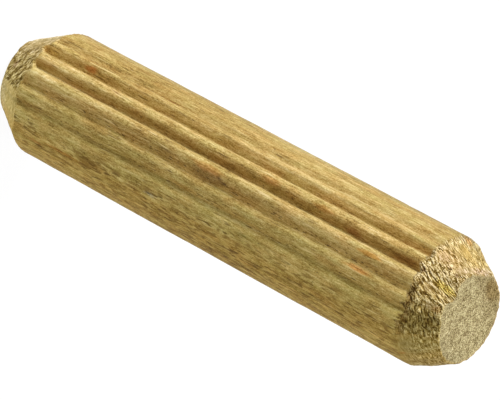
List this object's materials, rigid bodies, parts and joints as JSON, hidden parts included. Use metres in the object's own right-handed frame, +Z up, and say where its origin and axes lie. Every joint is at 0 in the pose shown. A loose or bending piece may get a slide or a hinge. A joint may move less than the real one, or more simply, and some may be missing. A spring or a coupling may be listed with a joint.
{
  "type": "fluted dowel pin",
  "caption": "Short straight wooden pin with lengthwise flutes pressed into two sides and a chamfer at each end, glued into drilled holes to join two boards.",
  "frame": {"origin": "on the pin's axis, in the plane of the end face that it stands on", "axes": "+Z up along the pin's axis; the middles of the two fluted sides face -Y and +Y, and the plain sides face -X and +X"},
  "size_m": [0.008, 0.008, 0.035],
  "materials": {
    "hardwood": "bare, dry, straight-grained hardwood, smooth on the ridges and torn on the end chamfers"
  },
  "bodies": {
    "root": {"dowel_pin": "hardwood"}
  },
  "joints": []
}
